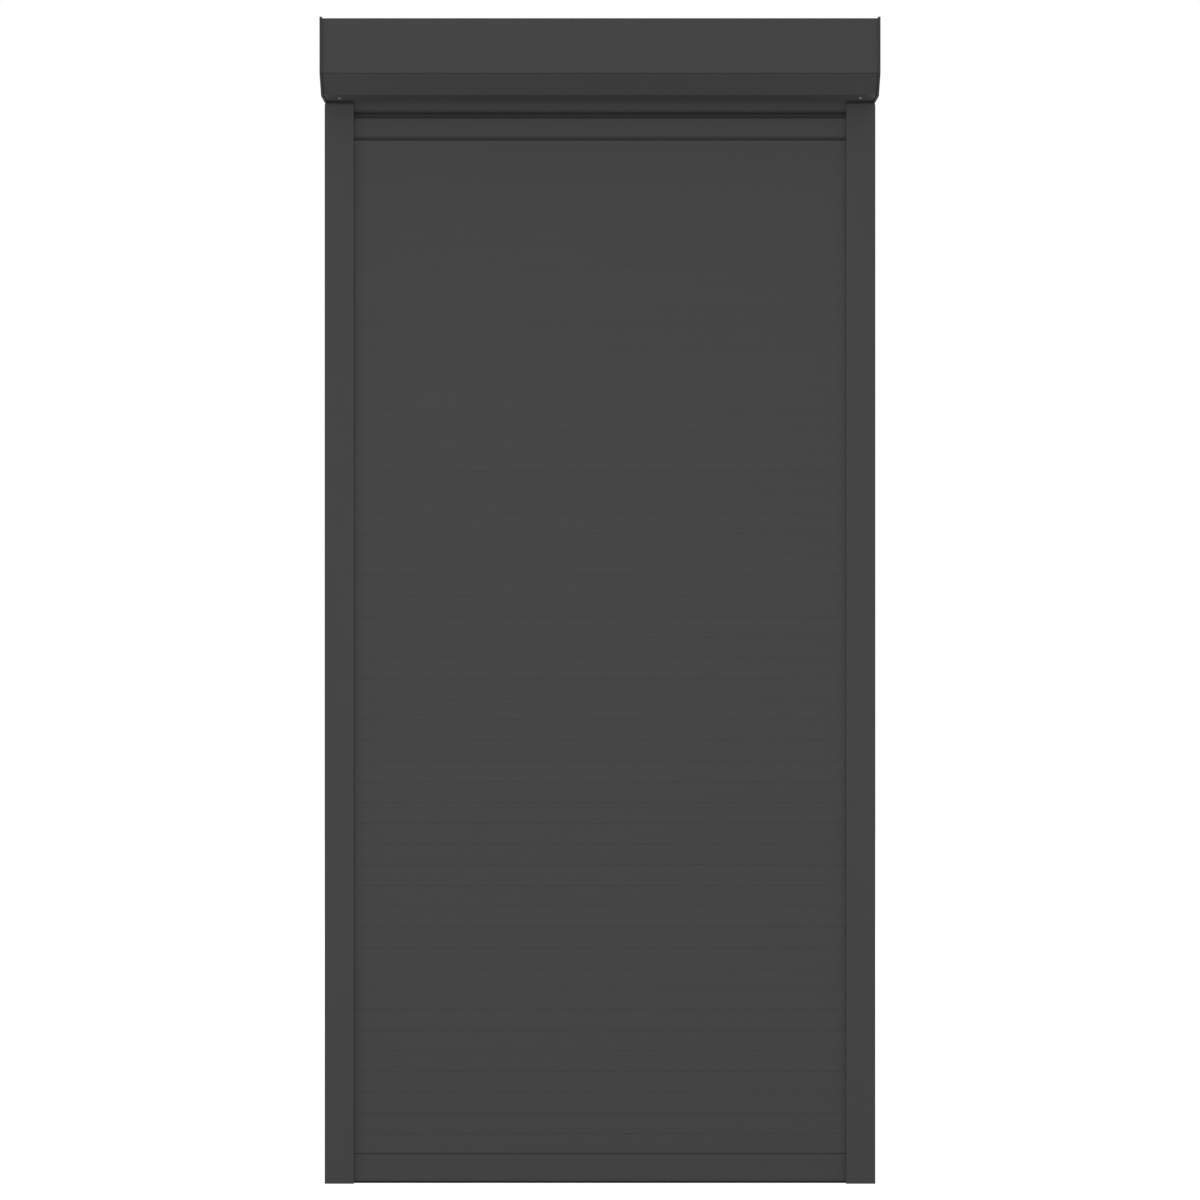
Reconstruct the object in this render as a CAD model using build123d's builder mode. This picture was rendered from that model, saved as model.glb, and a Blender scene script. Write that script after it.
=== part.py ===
"""Exterior roller shutter for a front-mounted box.

X runs along the shutter, Y out of the wall with the outside at negative Y, and Z up. The origin is at the
middle of the opening, on the wall plane that the rails and the box lie against, at the sill.
"""

import os
from math import cos, pi, radians, sqrt, tan

from build123d import *

os.makedirs("parts", exist_ok=True)

# Driving dimensions, in millimetres
overall_width = 1000.0
overall_height = 2100.0
box_depth = 137.0
box_height = 137.0
box_bevel = 36.0
bevel_angle = 45.0
rail_width = 53.0
rail_depth = 22.0
rail_wall = 1.4
rail_groove = 26.0
slat_pitch = 37.62
slat_thickness = 8.5
slat_skin = 0.3
bottom_joint = 53.2
sheet = 1.2
shaft_flats = 40.0
shaft_wall = 0.8

# Clearances shared by the pieces
seat_gap = 0.15
fit_gap = 0.03
running_gap = 0.3
overrun = 1.0

# Places that several pieces share
half_width = overall_width / 2
box_bottom = overall_height - box_height
curtain_y = -rail_depth / 2
shaft_y = -box_depth / 2
shaft_z = overall_height - box_height / 2
shaft_axis = Axis((0, shaft_y, shaft_z), (1, 0, 0))
shaft_side = Plane(origin=(0, shaft_y, shaft_z), x_dir=(1, 0, 0), z_dir=(0, -1, 0))


def across(x):
    """Plane across the shutter at x: origin on the shaft axis, local x along Y, local y along Z."""
    return Plane(origin=(x, shaft_y, shaft_z), x_dir=(0, 1, 0), z_dir=(1, 0, 0))


def mirrored(piece):
    """The same piece for the other end of the shutter."""
    with BuildPart() as other_end:
        mirror(piece, about=Plane.YZ)
    return other_end.part


def write_step(piece, name):
    """Label a finished piece and write it to its own file."""
    piece.label = name
    export_step(piece, f"parts/{name}.step")


# Box section, shared by the end caps, the shell and the inspection cover
cap_plate = 4.0
cap_lip = 2.35
sheet_bend_radius = 2.0
sheet_half = half_width - cap_plate


def box_corners(inset):
    """Rear foot, rear top, front top, upper bend and lower bend of the box, all drawn in by one inset."""
    bend = inset * tan(radians(bevel_angle / 2))
    return [
        (-inset, box_bottom + inset),
        (-inset, overall_height - inset),
        (inset - box_depth, overall_height - inset),
        (inset - box_depth, box_bottom + box_bevel + bend),
        (box_bevel + bend - box_depth, box_bottom + inset),
    ]


# Guide rails: an outer chamber that takes the fixings and a groove that takes the slat ends
rail_top_gap = 2.6
rail_top = box_bottom - rail_top_gap
rail_inner_x = half_width - rail_width
groove_floor_x = rail_inner_x + rail_groove
chamber_start_x = groove_floor_x + rail_wall
chamber_end_x = half_width - rail_wall
rail_edge_radius = 0.8
liner_slot_width = 5.8
liner_slot_depth = 2.2
liner_mouth = 3.8
liner_rib = 1.2
liner_lip = 1.0
holder_width = liner_slot_width + 2 * liner_rib
holder_depth = liner_slot_depth + liner_lip
rail_inside_depth = rail_depth - 2 * rail_wall
fixing_hole_radius = 3.2
fixing_access_radius = 6.5
fixing_foot = 160.0
fixing_head = 150.4
fixing_count = 4
fixing_spacing = (rail_top - fixing_head - fixing_foot) / (fixing_count - 1)
fixing_levels = [fixing_foot + fixing_spacing * number for number in range(fixing_count)]

with BuildPart() as guide_rail_right:
    with BuildSketch(Plane.XY):
        with Locations((half_width - rail_width / 2, curtain_y)):
            rail_outline = Rectangle(rail_width, rail_depth)
        fillet(rail_outline.vertices(), radius=rail_edge_radius)
        with Locations(((chamber_start_x + chamber_end_x) / 2, curtain_y)):
            Rectangle(chamber_end_x - chamber_start_x, rail_inside_depth, mode=Mode.SUBTRACT)
        with Locations((groove_floor_x - (rail_groove + overrun) / 2, curtain_y)):
            Rectangle(rail_groove + overrun, rail_inside_depth, mode=Mode.SUBTRACT)
        for facing in (-1, 1):
            wall_y = curtain_y + facing * rail_inside_depth / 2
            with Locations((rail_inner_x + holder_width / 2, wall_y - facing * holder_depth / 2)):
                Rectangle(holder_width, holder_depth)
            with Locations((rail_inner_x + holder_width / 2, wall_y - facing * liner_slot_depth / 2)):
                Rectangle(liner_slot_width, liner_slot_depth, mode=Mode.SUBTRACT)
            with Locations((rail_inner_x + holder_width / 2, wall_y - facing * holder_depth)):
                Rectangle(liner_mouth, 2 * liner_lip, mode=Mode.SUBTRACT)
    extrude(amount=rail_top)
    with BuildSketch(Plane.YZ.offset(chamber_end_x - overrun)):
        with Locations(*[(curtain_y, level) for level in fixing_levels]):
            Circle(fixing_hole_radius)
    extrude(amount=rail_wall + 2 * overrun, mode=Mode.SUBTRACT)
    with BuildSketch(Plane.YZ.offset(groove_floor_x - overrun)):
        with Locations(*[(curtain_y, level) for level in fixing_levels]):
            Circle(fixing_access_radius)
    extrude(amount=rail_wall + 2 * overrun, mode=Mode.SUBTRACT)

write_step(guide_rail_right.part, "guide_rail_right")
write_step(mirrored(guide_rail_right.part), "guide_rail_left")

# Rail liners: soft strips in the rails' holders, one in front of the slats and one behind them
liner_foot_width = liner_slot_width - 2 * seat_gap
liner_foot_height = liner_slot_depth - 2 * seat_gap
liner_stem_width = liner_mouth - 2 * seat_gap
liner_reach = (rail_inside_depth - slat_thickness) / 2 - running_gap
liner_nose_radius = liner_stem_width / 2

with BuildPart() as rail_liner_right:
    with BuildSketch(Plane.XY):
        for facing in (-1, 1):
            wall_y = curtain_y + facing * rail_inside_depth / 2
            middle_x = rail_inner_x + holder_width / 2
            stem_length = liner_reach - seat_gap - liner_nose_radius
            with Locations((middle_x, wall_y - facing * (seat_gap + liner_foot_height / 2))):
                Rectangle(liner_foot_width, liner_foot_height)
            with Locations((middle_x, wall_y - facing * (seat_gap + stem_length / 2))):
                Rectangle(liner_stem_width, stem_length)
            with Locations((middle_x, wall_y - facing * (liner_reach - liner_nose_radius))):
                Circle(liner_nose_radius)
    extrude(amount=rail_top)

write_step(rail_liner_right.part, "rail_liner_right")
write_step(mirrored(rail_liner_right.part), "rail_liner_left")

# Brackets and their screws, whose holes the end caps carry too
bracket_thickness = 3.0
bracket_size = 64.0
bracket_corner = 6.0
bracket_screw_spacing = 48.0
bracket_screw_radius = 2.0
bracket_screw_length = 7.0
bracket_screw_head_radius = 4.0
bracket_screw_head_height = 2.6
cap_pad_radius = 40.0
cap_pad_height = 2.0
cap_pad_recess_radius = 18.0
cap_hole_depth = 4.6
cap_hole_radius = bracket_screw_radius + fit_gap
bracket_outer_x = sheet_half - cap_pad_height
bracket_inner_x = bracket_outer_x - bracket_thickness

# Cover screws, whose bosses the end caps carry
cover_screw_inset = 30.0
cover_screw_setback = 37.7
cover_screw_x = half_width - cover_screw_inset
cover_screw_y = box_bevel + cover_screw_setback - box_depth
cover_screw_radius = 1.5
cover_screw_head_radius = 3.2
cover_screw_head_height = 1.8
cover_screw_length = 11.0
cover_boss_depth = 13.0
cover_boss_height = 12.0
cover_boss_margin = 6.5
cover_screw_spots = [(side * cover_screw_x, cover_screw_y) for side in (-1, 1)]

# Blind rivets that hold the shell to the end caps
rivet_radius = 1.6
rivet_head_radius = 3.2
rivet_head_height = 1.0
rivet_tail_height = 2.0
rivet_tail_radius = 2.2
rivet_inset = 7.0
rivet_depth_shares = (0.25, 0.75)
rivet_places_y = [-share * box_depth for share in rivet_depth_shares]
rivet_x = sheet_half - rivet_inset
rivet_spots = [(side * rivet_x, y) for y in rivet_places_y for side in (-1, 1)]

# End caps: cast plates with a collar inside the sheet, a pad for the bracket and a spigot for the rail
cap_edge_radius = 1.5
collar_inset = cap_lip + sheet + seat_gap
collar_wall = 2.0
collar_depth = 14.0
spigot_length = 40.0
spigot_wall = 2.5
spigot_root = 1.2
foot_height = 5.0
foot_front = curtain_y - rail_inside_depth / 2 + seat_gap
foot_rear = -collar_inset
spigot_depth = rail_inside_depth - 2 * seat_gap
spigot_width = chamber_end_x - chamber_start_x - 2 * seat_gap
spigot_middle_x = (chamber_start_x + chamber_end_x) / 2
foot_start_x = chamber_start_x + seat_gap

with BuildPart() as end_cap_right:
    with BuildSketch(Plane.YZ.offset(sheet_half)):
        with BuildLine():
            Polyline(*box_corners(0), close=True)
        cap_face = make_face()
        fillet(cap_face.vertices(), radius=cap_edge_radius)
    extrude(amount=cap_plate)
    with BuildSketch(Plane.YZ.offset(sheet_half - collar_depth)):
        with BuildLine():
            Polyline(*box_corners(collar_inset), close=True)
        collar_face = make_face()
        fillet(collar_face.vertices(), radius=sheet_bend_radius)
        with BuildLine():
            Polyline(*box_corners(collar_inset + collar_wall), close=True)
        make_face(mode=Mode.SUBTRACT)
    extrude(amount=collar_depth)
    with BuildSketch(across(sheet_half - cap_pad_height)):
        Circle(cap_pad_radius)
        Circle(cap_pad_recess_radius, mode=Mode.SUBTRACT)
    extrude(amount=cap_pad_height)
    with BuildSketch(Plane.XY.offset(box_bottom)):
        with Locations(((foot_start_x + sheet_half) / 2, (foot_front + foot_rear) / 2)):
            Rectangle(sheet_half - foot_start_x, foot_rear - foot_front)
    extrude(amount=foot_height)
    with BuildSketch(Plane.XY.offset(box_bottom - spigot_length)):
        with Locations((spigot_middle_x, curtain_y)):
            Rectangle(spigot_width, spigot_depth)
            Rectangle(spigot_width - 2 * spigot_wall, spigot_depth - 2 * spigot_wall, mode=Mode.SUBTRACT)
    extrude(amount=spigot_length + spigot_root)
    with BuildSketch(Plane.XY.offset(box_bottom + collar_inset)):
        with Locations(((cover_screw_x - cover_boss_margin + sheet_half) / 2, cover_screw_y)):
            Rectangle(sheet_half - cover_screw_x + cover_boss_margin, cover_boss_depth)
    extrude(amount=cover_boss_height)
    with BuildSketch(across(bracket_outer_x)):
        with GridLocations(bracket_screw_spacing, bracket_screw_spacing, 2, 2):
            Circle(cap_hole_radius)
    extrude(amount=cap_hole_depth, mode=Mode.SUBTRACT)
    with BuildSketch(Plane.XY.offset(box_bottom + collar_inset - overrun)):
        with Locations((cover_screw_x, cover_screw_y)):
            Circle(cover_screw_radius + fit_gap)
    extrude(amount=cover_screw_length + overrun, mode=Mode.SUBTRACT)
    with BuildSketch(Plane.XY.offset(overall_height - collar_inset - collar_wall - overrun)):
        with Locations(*[(rivet_x, y) for y in rivet_places_y]):
            Circle(rivet_radius + fit_gap)
    extrude(amount=collar_wall + 2 * overrun, mode=Mode.SUBTRACT)

write_step(end_cap_right.part, "end_cap_right")
write_step(mirrored(end_cap_right.part), "end_cap_left")

# Cable outlet in the rear panel, beside the motor head
outlet_inset = 48.0
outlet_drop = 22.0
outlet_x = half_width - outlet_inset
outlet_z = overall_height - outlet_drop
outlet_radius = 7.0

# Box shell: rear, top and front panel bent from one sheet
with BuildPart() as box_shell:
    with BuildSketch(Plane.YZ.offset(-sheet_half)):
        with BuildLine():
            FilletPolyline(*box_corners(cap_lip)[:4], radius=sheet_bend_radius)
            offset(amount=sheet, side=Side.LEFT, kind=Kind.ARC)
        make_face()
    extrude(amount=2 * sheet_half)
    with BuildSketch(Plane.XZ):
        with Locations((outlet_x, outlet_z)):
            Circle(outlet_radius)
    extrude(amount=cap_lip + sheet + overrun, mode=Mode.SUBTRACT)
    with BuildSketch(Plane.XY.offset(overall_height - collar_inset - overrun)):
        with Locations(*rivet_spots):
            Circle(rivet_radius + fit_gap)
    extrude(amount=collar_inset + overrun, mode=Mode.SUBTRACT)

write_step(box_shell.part, "box_shell")

# Shell rivets: a domed head on the sheet and a set tail under the collar
with BuildPart() as shell_rivets:
    top_z = overall_height - cap_lip
    tail_z = overall_height - collar_inset - collar_wall
    with BuildSketch(Plane.XY.offset(tail_z - rivet_tail_height)):
        with Locations(*rivet_spots):
            Circle(rivet_tail_radius)
    extrude(amount=rivet_tail_height)
    with BuildSketch(Plane.XY.offset(tail_z)):
        with Locations(*rivet_spots):
            Circle(rivet_radius)
    extrude(amount=top_z - tail_z)
    with BuildSketch(Plane.XY.offset(top_z)):
        with Locations(*rivet_spots):
            Circle(rivet_head_radius)
    extrude(amount=rivet_head_height)
    rivet_rims = shell_rivets.edges().filter_by(GeomType.CIRCLE).group_by(Axis.Z)[-1]
    fillet(rivet_rims, radius=rivet_head_height * 2 / 3)

write_step(shell_rivets.part, "shell_rivets")

# Cable grommet: a rubber ring in the cable outlet
grommet_flange_radius = 9.5
grommet_flange = 1.6
grommet_bore_radius = 3.4
grommet_neck_radius = outlet_radius - seat_gap
outlet_back = Plane(origin=(outlet_x, 0, outlet_z), x_dir=(1, 0, 0), z_dir=(0, -1, 0))

with BuildPart() as cable_grommet:
    with BuildSketch(outlet_back.offset(cap_lip - grommet_flange)):
        Circle(grommet_flange_radius)
    extrude(amount=grommet_flange)
    with BuildSketch(outlet_back.offset(cap_lip)):
        Circle(grommet_neck_radius)
    extrude(amount=sheet)
    with BuildSketch(outlet_back.offset(cap_lip + sheet)):
        Circle(grommet_flange_radius)
    extrude(amount=grommet_flange, taper=bevel_angle / 2)
    with BuildSketch(outlet_back):
        Circle(grommet_bore_radius)
    extrude(amount=cap_lip + sheet + grommet_flange + overrun, mode=Mode.SUBTRACT)

write_step(cable_grommet.part, "cable_grommet")

# Inspection cover: bevel panel and underside flange, with a tongue behind the front panel
cover_seam = 0.8
cover_half = sheet_half - running_gap
cover_rear_gap = 2.4
cover_rear_y = -rail_depth - cover_rear_gap
cover_drip = 2.0
tongue_height = 12.0
tongue_half = sheet_half - collar_depth - running_gap
tongue_front_y = cap_lip + sheet + running_gap - box_depth
upper_bend = box_corners(cap_lip)[3]
lower_bend = box_corners(cap_lip)[4]
underside_z = box_bottom + cap_lip

with BuildPart() as inspection_cover:
    with BuildSketch(Plane.YZ.offset(-cover_half)):
        with BuildLine():
            FilletPolyline(
                (upper_bend[0] + cover_seam, upper_bend[1] - cover_seam),
                lower_bend,
                (cover_rear_y, underside_z),
                (cover_rear_y, underside_z - cover_drip),
                radius=[sheet_bend_radius, sheet],
            )
            offset(amount=sheet, side=Side.LEFT, kind=Kind.ARC)
        make_face()
    extrude(amount=2 * cover_half)
    with BuildSketch(Plane.YZ.offset(-tongue_half)):
        tongue_foot_z = upper_bend[1] - (tongue_front_y - upper_bend[0]) + sheet / 5
        with Locations((tongue_front_y + sheet / 2, (tongue_foot_z + upper_bend[1] + tongue_height) / 2)):
            Rectangle(sheet, upper_bend[1] + tongue_height - tongue_foot_z)
    extrude(amount=2 * tongue_half)
    with BuildSketch(Plane.XY.offset(underside_z - overrun)):
        with Locations(*cover_screw_spots):
            Circle(cover_screw_radius + seat_gap)
    extrude(amount=sheet + 2 * overrun, mode=Mode.SUBTRACT)

write_step(inspection_cover.part, "inspection_cover")

# Cover screws: pan heads under the flange
with BuildPart() as cover_screws:
    with BuildSketch(Plane.XY.offset(underside_z - cover_screw_head_height)):
        with Locations(*cover_screw_spots):
            Circle(cover_screw_head_radius)
    extrude(amount=cover_screw_head_height)
    with BuildSketch(Plane.XY.offset(underside_z)):
        with Locations(*cover_screw_spots):
            Circle(cover_screw_radius)
    extrude(amount=cover_screw_length)
    screw_rims = cover_screws.edges().filter_by(GeomType.CIRCLE).group_by(Axis.Z)[0]
    fillet(screw_rims, radius=cover_screw_head_height / 2)
    with BuildSketch(Plane.XY.offset(underside_z - cover_screw_head_height)):
        with Locations(*cover_screw_spots):
            Rectangle(cover_screw_head_radius, cover_screw_radius / 3)
            Rectangle(cover_screw_radius / 3, cover_screw_head_radius)
    extrude(amount=cover_screw_head_height / 2, mode=Mode.SUBTRACT)

write_step(cover_screws.part, "cover_screws")

# Inlet funnels: plastic cheeks that stand in the rail grooves, rest on the web and lead the slats in
funnel_plug = 20.0
funnel_web = 1.5
funnel_slat_gap = 0.75
funnel_straight = 4.0
funnel_height = 24.0
funnel_flare = 8.0
funnel_lip = 2.0
funnel_rear_lip = 1.2
funnel_front_y = curtain_y - slat_thickness / 2 - funnel_slat_gap
funnel_rear_y = curtain_y + slat_thickness / 2 + funnel_slat_gap
funnel_end_x = groove_floor_x - seat_gap
funnel_plug_start_x = rail_inner_x + holder_width + running_gap
plug_front_y = curtain_y - rail_inside_depth / 2 + seat_gap
plug_rear_y = curtain_y + rail_inside_depth / 2 - seat_gap
front_lip_y = funnel_front_y - funnel_flare

with BuildPart() as inlet_funnel_right:
    with BuildSketch(Plane.XY.offset(rail_top - funnel_plug)):
        with Locations(((funnel_plug_start_x + funnel_end_x) / 2, (plug_front_y + funnel_front_y) / 2)):
            Rectangle(funnel_end_x - funnel_plug_start_x, funnel_front_y - plug_front_y)
        with Locations(((funnel_plug_start_x + funnel_end_x) / 2, (plug_rear_y + funnel_rear_y) / 2)):
            Rectangle(funnel_end_x - funnel_plug_start_x, plug_rear_y - funnel_rear_y)
        with Locations((funnel_end_x - funnel_web / 2, curtain_y)):
            Rectangle(funnel_web, plug_rear_y - plug_front_y)
    extrude(amount=funnel_plug)
    with BuildSketch(Plane.YZ.offset(rail_inner_x)):
        with BuildLine():
            Polyline(
                (plug_front_y, rail_top),
                (funnel_front_y, rail_top),
                (funnel_front_y, rail_top + funnel_straight),
                (front_lip_y, rail_top + funnel_height),
                (front_lip_y - funnel_lip, rail_top + funnel_height),
                (plug_front_y, rail_top + funnel_straight + funnel_lip),
                close=True,
            )
        make_face()
        with BuildLine():
            Polyline(
                (funnel_rear_y, rail_top),
                (-collar_inset, rail_top),
                (-collar_inset, rail_top + funnel_height),
                (-collar_inset - funnel_rear_lip, rail_top + funnel_height),
                (funnel_rear_y, rail_top + funnel_height / 2),
                close=True,
            )
        make_face()
    extrude(amount=chamber_start_x - rail_inner_x)
    with BuildSketch(Plane.XY.offset(rail_top)):
        with Locations((funnel_end_x - funnel_web / 2, (plug_front_y - collar_inset) / 2)):
            Rectangle(funnel_web, -collar_inset - plug_front_y)
    extrude(amount=funnel_straight)

write_step(inlet_funnel_right.part, "inlet_funnel_right")
write_step(mirrored(inlet_funnel_right.part), "inlet_funnel_left")

# Slat section: a roll at the foot that sits in the cup of the slat below, and a hook that reaches up into the
# chamber of the slat above. Its origin is the centre of the roll.
joint_gap = 0.1
hook_travel = 12.6
hook_neck = 0.8
hook_head_width = 3.4
hook_head_height = 1.8
hook_slot = hook_neck + 2 * (running_gap + joint_gap / 2)
slat_half_thickness = slat_thickness / 2
chamber_half = slat_half_thickness - slat_skin
cup_radius = slat_half_thickness + joint_gap
lip_edge = 0.08
cup_rim = slat_half_thickness - lip_edge
lip_drop = sqrt(cup_radius**2 - cup_rim**2)
lip_top = slat_pitch - lip_drop
hook_floor = sqrt(chamber_half**2 - (hook_head_width / 2) ** 2)
hook_head_foot = slat_pitch + hook_travel - hook_floor + running_gap
hook_head_top = hook_head_foot + hook_head_height
chamber_top = hook_head_top - slat_pitch + running_gap
core_foot = chamber_top + slat_skin
core_cup_radius = cup_radius + slat_skin
groove_end_gap = 5.0
slat_half = groove_floor_x - groove_end_gap

with BuildSketch() as core_section:
    with Locations((0, (core_foot + slat_pitch) / 2)):
        Rectangle(2 * chamber_half, slat_pitch - core_foot)
    with Locations((0, slat_pitch)):
        Circle(core_cup_radius, mode=Mode.SUBTRACT)

with BuildSketch() as hook_section:
    with Locations((0, (slat_pitch - core_cup_radius + slat_skin / 2 + hook_head_top) / 2)):
        Rectangle(hook_neck, hook_head_top - slat_pitch + core_cup_radius - slat_skin / 2)
    with Locations((0, (hook_head_foot + hook_head_top) / 2)):
        Rectangle(hook_head_width, hook_head_height)

with BuildSketch() as slat_section:
    with BuildLine():
        front_face = Line((-slat_half_thickness, 0), (-slat_half_thickness, lip_top))
        front_lip = Line(front_face @ 1, (-cup_rim, lip_top))
        cup = ThreePointArc(front_lip @ 1, (0, slat_pitch - cup_radius), (cup_rim, lip_top))
        rear_face = Polyline(cup @ 1, (slat_half_thickness, lip_top), (slat_half_thickness, 0))
        ThreePointArc(rear_face @ 1, (0, -slat_half_thickness), front_face @ 0)
    make_face()
    add(core_section.sketch, mode=Mode.SUBTRACT)
    with Locations((0, chamber_top / 2)):
        Rectangle(2 * chamber_half, chamber_top, mode=Mode.SUBTRACT)
    Circle(chamber_half, mode=Mode.SUBTRACT)
    with Locations((0, -slat_half_thickness)):
        Rectangle(hook_slot, slat_half_thickness, mode=Mode.SUBTRACT)
    add(hook_section.sketch)


def along_curtain(section, levels, half_length, name):
    """Write one node of the curtain: the section at each level, drawn out over the length."""
    with BuildPart() as lengths:
        with BuildSketch(Plane.YZ.offset(-half_length)):
            with Locations(*[(curtain_y, level) for level in levels]):
                add(section)
        extrude(amount=2 * half_length)
    write_step(lengths.part, name)


# Slats: as many closed ones as the rails' height takes, in ten groups, then the two that hang from the shaft
slat_groups = 10
upper_joint_opening = 2.0
top_joint_opening = 12.3
hanging_height = rail_top - bottom_joint - upper_joint_opening - top_joint_opening
closed_slats = int(hanging_height / slat_pitch) - 1
closed_levels = [bottom_joint + slat_pitch * number for number in range(closed_slats)]
lifted_slat_level = bottom_joint + slat_pitch * closed_slats + upper_joint_opening
hanging_slat_level = lifted_slat_level + slat_pitch + top_joint_opening

for group in range(slat_groups):
    first = group * closed_slats // slat_groups
    after = (group + 1) * closed_slats // slat_groups
    along_curtain(slat_section.sketch, closed_levels[first:after], slat_half, f"closed_slats_{group + 1:02d}")
along_curtain(slat_section.sketch, [lifted_slat_level], slat_half, "lifted_slat")
along_curtain(slat_section.sketch, [hanging_slat_level], slat_half, "hanging_slat")

# Foam cores: rigid foam that fills each slat between the plugs of its end locks
lock_plug = 12.0
core_half = slat_half - lock_plug - overrun

with BuildSketch() as foam_section:
    add(core_section.sketch)
    offset(amount=-fit_gap, kind=Kind.INTERSECTION)

along_curtain(foam_section.sketch, closed_levels, core_half, "closed_slat_cores")
along_curtain(foam_section.sketch, [lifted_slat_level], core_half, "lifted_slat_core")
along_curtain(foam_section.sketch, [hanging_slat_level], core_half, "hanging_slat_core")

# End locks: plastic clips in every second slat, with a plate over the slat's end
lock_plate = 1.5
lock_plate_height = 24.0
lock_plate_thickness = slat_thickness - 2 * running_gap
lock_plug_height = 12.0
lock_plug_thickness = 2 * (chamber_half - seat_gap)
lock_middle = core_foot + seat_gap + lock_plug_height / 2
lock_corner = 1.0


def end_locks(levels, side, name):
    """Write the locks at one end of the slats at these levels."""
    with BuildPart() as locks:
        with BuildSketch(Plane.YZ.offset(side * slat_half)):
            with Locations(*[(curtain_y, level + lock_middle) for level in levels]):
                RectangleRounded(lock_plate_thickness, lock_plate_height, lock_corner)
        extrude(amount=side * lock_plate)
        with BuildSketch(Plane.YZ.offset(side * slat_half)):
            with Locations(*[(curtain_y, level + lock_middle) for level in levels]):
                Rectangle(lock_plug_thickness, lock_plug_height)
        extrude(amount=-side * lock_plug)
    write_step(locks.part, name)


end_locks(closed_levels[::2], -1, "end_locks_left")
end_locks(closed_levels[::2], 1, "end_locks_right")
end_locks([hanging_slat_level], -1, "top_lock_left")
end_locks([hanging_slat_level], 1, "top_lock_right")

# Bottom bar: an extruded bar with the slats' cup and hook on top and a slot for the seal below
bar_foot = 3.8
bar_wall = 1.5
bar_chamber_foot = 9.0
bar_line_level = 5.8
bar_line_depth = 0.4
bar_line_height = 0.6
seal_slot_mouth = 3.0
seal_slot_width = 5.5
seal_slot_height = 2.4
seal_slot_lip = 1.2
bar_cup_centre = bottom_joint
bar_to_slat = bottom_joint - slat_pitch

with BuildPart() as bottom_bar:
    with BuildSketch(Plane.YZ.offset(-slat_half)):
        with Locations((curtain_y, (bar_foot + bar_cup_centre - lip_drop) / 2)):
            Rectangle(slat_thickness, bar_cup_centre - lip_drop - bar_foot)
        with Locations((curtain_y, (bar_chamber_foot + bar_cup_centre) / 2)):
            Rectangle(slat_thickness - 2 * bar_wall, bar_cup_centre - bar_chamber_foot, mode=Mode.SUBTRACT)
        with Locations((curtain_y, bar_cup_centre - lip_drop - cup_radius)):
            Rectangle(slat_thickness, 2 * (cup_radius - lip_drop) + bar_wall)
        with Locations((curtain_y, bar_cup_centre)):
            Circle(cup_radius, mode=Mode.SUBTRACT)
        with Locations((curtain_y, bar_to_slat)):
            add(hook_section.sketch)
        with Locations((curtain_y, bar_foot + seal_slot_lip / 2)):
            Rectangle(seal_slot_mouth, seal_slot_lip, mode=Mode.SUBTRACT)
        with Locations((curtain_y, bar_foot + seal_slot_lip + seal_slot_height / 2)):
            Rectangle(seal_slot_width, seal_slot_height, mode=Mode.SUBTRACT)
        with Locations((curtain_y - slat_half_thickness, bar_line_level)):
            Rectangle(2 * bar_line_depth, bar_line_height, mode=Mode.SUBTRACT)
    extrude(amount=2 * slat_half)

write_step(bottom_bar.part, "bottom_bar")

# Bottom seal: a rubber strip with its foot in the bar's slot and its round edge on the sill
seal_width = 7.2
seal_edge_radius = 2.4

with BuildPart() as bottom_seal:
    with BuildSketch(Plane.YZ.offset(-slat_half)):
        with Locations((curtain_y, (bar_foot - fit_gap) / 2)):
            seal_bulb = Rectangle(seal_width, bar_foot - fit_gap)
        fillet(seal_bulb.vertices().group_by(Axis.Y)[0], radius=seal_edge_radius)
        with Locations((curtain_y, bar_foot + (seal_slot_lip + seat_gap) / 2)):
            Rectangle(seal_slot_mouth - 2 * seat_gap, seal_slot_lip + 2 * seat_gap)
        with Locations((curtain_y, bar_foot + seal_slot_lip + seal_slot_height / 2)):
            Rectangle(seal_slot_width - 2 * seat_gap, seal_slot_height - 2 * seat_gap)
    extrude(amount=2 * slat_half)

write_step(bottom_seal.part, "bottom_seal")

# Bar glides: plastic end pieces of the bottom bar that run in the rail grooves
glide_plate = 3.0
glide_foot = 5.0
glide_top = 46.0
glide_oversize = 0.7
glide_thickness = slat_thickness + glide_oversize
glide_corner = 2.0
glide_plug = 16.0
glide_plug_foot = bar_chamber_foot + seat_gap
glide_plug_top = 40.0

with BuildPart() as bar_glide_right:
    with BuildSketch(Plane.YZ.offset(slat_half)):
        with Locations((curtain_y, (glide_foot + glide_top) / 2)):
            RectangleRounded(glide_thickness, glide_top - glide_foot, glide_corner)
    extrude(amount=glide_plate)
    with BuildSketch(Plane.YZ.offset(slat_half)):
        with Locations((curtain_y, (glide_plug_foot + glide_plug_top) / 2)):
            Rectangle(slat_thickness - 2 * bar_wall - 2 * seat_gap, glide_plug_top - glide_plug_foot)
    extrude(amount=-glide_plug)

write_step(bar_glide_right.part, "bar_glide_right")
write_step(mirrored(bar_glide_right.part), "bar_glide_left")

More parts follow.
